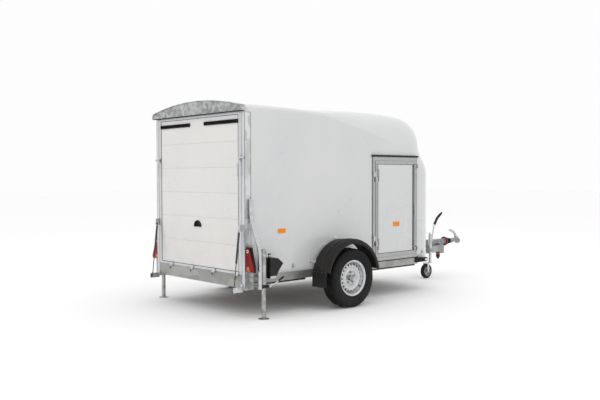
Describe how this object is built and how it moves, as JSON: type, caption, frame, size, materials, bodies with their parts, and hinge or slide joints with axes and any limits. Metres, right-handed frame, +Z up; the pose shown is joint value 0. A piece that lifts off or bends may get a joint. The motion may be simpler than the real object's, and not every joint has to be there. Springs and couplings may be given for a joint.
{
  "type": "livestock trailer",
  "caption": "Single-axle box trailer with a moulded body, rear ramp on gas struts, side door, corner props, jockey wheel and overrun ball coupling.",
  "frame": {"origin": "ground plane, under the middle of the overall length and width", "axes": "+Y towards the coupling, +X to the right with the side door, +Z up"},
  "size_m": [2.2, 4.801, 2.218],
  "materials": {
    "white_gelcoat": "smooth white moulded gelcoat, lightly glossy",
    "galvanised": "hot-dip galvanised steel with a faint spangle",
    "aluminium": "satin mill-finish aluminium profile",
    "zinc_plate": "bright zinc-plated steel",
    "cast_housing": "zinc-coated casting",
    "floor_ply": "brown film-faced plywood",
    "black_plastic": "grained black plastic",
    "black_rubber": "matt black rubber",
    "lamp_lens": "moulded lamp lens",
    "strut_rod": "dark polished piston rod",
    "strut_black": "black painted cylinder",
    "axle_black": "dark galvanised axle arm",
    "rim_silver": "silver painted steel wheel",
    "tyre_rubber": "black tyre rubber",
    "jockey_hub": "grey moulded wheel centre"
  },
  "bodies": {
    "base": {"chassis_frame": "galvanised", "drawbar": "galvanised", "threshold_beam": "galvanised", "rear_posts": "aluminium", "rear_hood": "galvanised", "body_shell": "white_gelcoat", "floor_board": "floor_ply", "axle_beam": "galvanised", "mudguards": "black_plastic", "lamp_guards": "galvanised", "lamp_housings": "black_plastic", "lamp_lenses": "lamp_lens", "marker_lamps": "black_plastic", "prop_sleeves": "galvanised", "prop_clamps": "black_plastic", "door_surround": "aluminium", "door_gutter": "black_rubber", "wheel_chock": "black_plastic", "chock_holder": "zinc_plate", "overrun_housing": "cast_housing", "bellows": "black_rubber", "jockey_clamp": "galvanised", "jockey_outer_tube": "zinc_plate", "plug_holder": "black_plastic", "rear_brackets": "zinc_plate"},
    "ramp": {"ramp_panel": "white_gelcoat", "ramp_frame": "aluminium", "ramp_vents": "black_plastic", "ramp_pull_cup": "black_plastic", "ramp_brackets": "zinc_plate"},
    "latch_left": {"ramp_latch_left": "zinc_plate"},
    "latch_right": {"ramp_latch_right": "zinc_plate"},
    "strut_rod": {"strut_rods": "strut_rod"},
    "strut_cylinder": {"strut_cylinders": "strut_black"},
    "side_door": {"door_panel": "white_gelcoat", "door_edge": "aluminium", "door_fittings": "zinc_plate"},
    "lock_bar": {"door_lock_bar": "zinc_plate"},
    "arm_left": {"swing_arm_left": "axle_black"},
    "arm_right": {"swing_arm_right": "axle_black"},
    "wheel_left": {"hub_left": "cast_housing", "rim_left": "rim_silver", "tyre_left": "tyre_rubber"},
    "wheel_right": {"hub_right": "cast_housing", "rim_right": "rim_silver", "tyre_right": "tyre_rubber"},
    "jockey_tube": {"jockey_leg": "zinc_plate"},
    "jockey_castor": {"jockey_fork": "zinc_plate"},
    "jockey_roller": {"jockey_wheel": "jockey_hub", "jockey_tyre": "tyre_rubber"},
    "crank": {"jockey_crank": "zinc_plate"},
    "coupler": {"overrun_shaft": "zinc_plate", "coupling_head": "cast_housing"},
    "coupler_handle": {"coupling_handle": "zinc_plate"},
    "handbrake": {"handbrake_lever": "zinc_plate"},
    "brake_pull": {"brake_rod": "zinc_plate"},
    "prop_left": {"prop_leg_left": "galvanised"},
    "prop_right": {"prop_leg_right": "galvanised"},
    "prop_handle_left": {"prop_lever_left": "zinc_plate"},
    "prop_handle_right": {"prop_lever_right": "zinc_plate"}
  },
  "joints": [
    {"name": "ramp_hinge", "type": "hinge", "parent": "base", "child": "ramp", "pos_m": [0, -2.2945, 0.427], "axis": [1, 0, 0], "range_deg": [0, 104]},
    {"name": "ramp_latch_left", "type": "hinge", "parent": "ramp", "child": "latch_left", "pos_m": [-0.743, -2.2965, 1.6], "axis": [0, 1, 0], "range_deg": [0, 100]},
    {"name": "ramp_latch_right", "type": "hinge", "parent": "ramp", "child": "latch_right", "pos_m": [0.743, -2.2965, 1.6], "axis": [0, 1, 0], "range_deg": [-100, 0]},
    {"name": "strut_pivot", "type": "hinge", "parent": "base", "child": "strut_rod", "pos_m": [0, -2.3825, 0.29], "axis": [1, 0, 0], "range_deg": [0, 95.75]},
    {"name": "strut_slide", "type": "slide", "parent": "strut_rod", "child": "strut_cylinder", "axis": [0, 0.1145, 0.9934], "range_m": [-0.2481, 0]},
    {"name": "side_door_hinge", "type": "hinge", "parent": "base", "child": "side_door", "pos_m": [0.833, -0.3705, 1.037], "axis": [0, 0, 1], "range_deg": [-110, 0]},
    {"name": "door_lock", "type": "hinge", "parent": "side_door", "child": "lock_bar", "pos_m": [0.836, 0.3295, 1.037], "axis": [0, 0, 1], "range_deg": [-90, 0]},
    {"name": "suspension_left", "type": "hinge", "parent": "base", "child": "arm_left", "pos_m": [-0.84, -0.8595, 0.29], "axis": [1, 0, 0], "range_deg": [-8, 8], "stiffness_Nm_per_rad": 14000, "springref_deg": 1.15},
    {"name": "wheel_spin_left", "type": "hinge", "parent": "arm_left", "child": "wheel_left", "pos_m": [-1.002, -1.0095, 0.32], "axis": [1, 0, 0], "continuous": true},
    {"name": "suspension_right", "type": "hinge", "parent": "base", "child": "arm_right", "pos_m": [0.84, -0.8595, 0.29], "axis": [1, 0, 0], "range_deg": [-8, 8], "stiffness_Nm_per_rad": 14000, "springref_deg": 1.15},
    {"name": "wheel_spin_right", "type": "hinge", "parent": "arm_right", "child": "wheel_right", "pos_m": [1.002, -1.0095, 0.32], "axis": [1, 0, 0], "continuous": true},
    {"name": "jockey_crank", "type": "hinge", "parent": "base", "child": "crank", "pos_m": [0.15, 1.5175, 0.62], "axis": [0, 0, 1], "range_deg": [-60, 10800]},
    {"name": "jockey_lift", "type": "slide", "parent": "base", "child": "jockey_tube", "axis": [0, 0, 1], "range_m": [-0.001, 0.121]},
    {"name": "jockey_swivel", "type": "hinge", "parent": "jockey_tube", "child": "jockey_castor", "pos_m": [0.15, 1.5175, 0.214], "axis": [0, 0, 1], "continuous": true},
    {"name": "jockey_roll", "type": "hinge", "parent": "jockey_castor", "child": "jockey_roller", "pos_m": [0.15, 1.4325, 0.1], "axis": [1, 0, 0], "continuous": true},
    {"name": "overrun", "type": "slide", "parent": "base", "child": "coupler", "axis": [0, 1, 0], "range_m": [-0.08, 0], "deforming": ["bellows"]},
    {"name": "coupling_release", "type": "hinge", "parent": "coupler", "child": "coupler_handle", "pos_m": [0, 2.3475, 0.516], "axis": [1, 0, 0], "range_deg": [-25, 0]},
    {"name": "handbrake_lever", "type": "hinge", "parent": "base", "child": "handbrake", "pos_m": [0.066, 1.6625, 0.514], "axis": [1, 0, 0], "range_deg": [-50, 8]},
    {"name": "brake_pull", "type": "slide", "parent": "base", "child": "brake_pull", "axis": [0, 1, 0], "range_m": [-0.018, 0.0035]},
    {"name": "prop_left", "type": "slide", "parent": "base", "child": "prop_left", "axis": [0, 0, 1], "range_m": [0, 0.2]},
    {"name": "prop_clamp_left", "type": "hinge", "parent": "base", "child": "prop_handle_left", "pos_m": [-0.966, -2.0885, 0.328], "axis": [1, 0, 0], "range_deg": [0, 70]},
    {"name": "prop_right", "type": "slide", "parent": "base", "child": "prop_right", "axis": [0, 0, 1], "range_m": [0, 0.2]},
    {"name": "prop_clamp_right", "type": "hinge", "parent": "base", "child": "prop_handle_right", "pos_m": [0.966, -2.0885, 0.328], "axis": [1, 0, 0], "range_deg": [0, 70]}
  ],
  "couplings": [
    {"joint": "strut_pivot", "follows": "ramp_hinge", "ratio": 0.91589},
    {"joint": "strut_slide", "follows": "ramp_hinge", "m_per_rad": -0.13614},
    {"joint": "jockey_lift", "follows": "jockey_crank", "m_per_rad": 0.00063662},
    {"joint": "brake_pull", "follows": "handbrake_lever", "m_per_rad": 0.02}
  ]
}
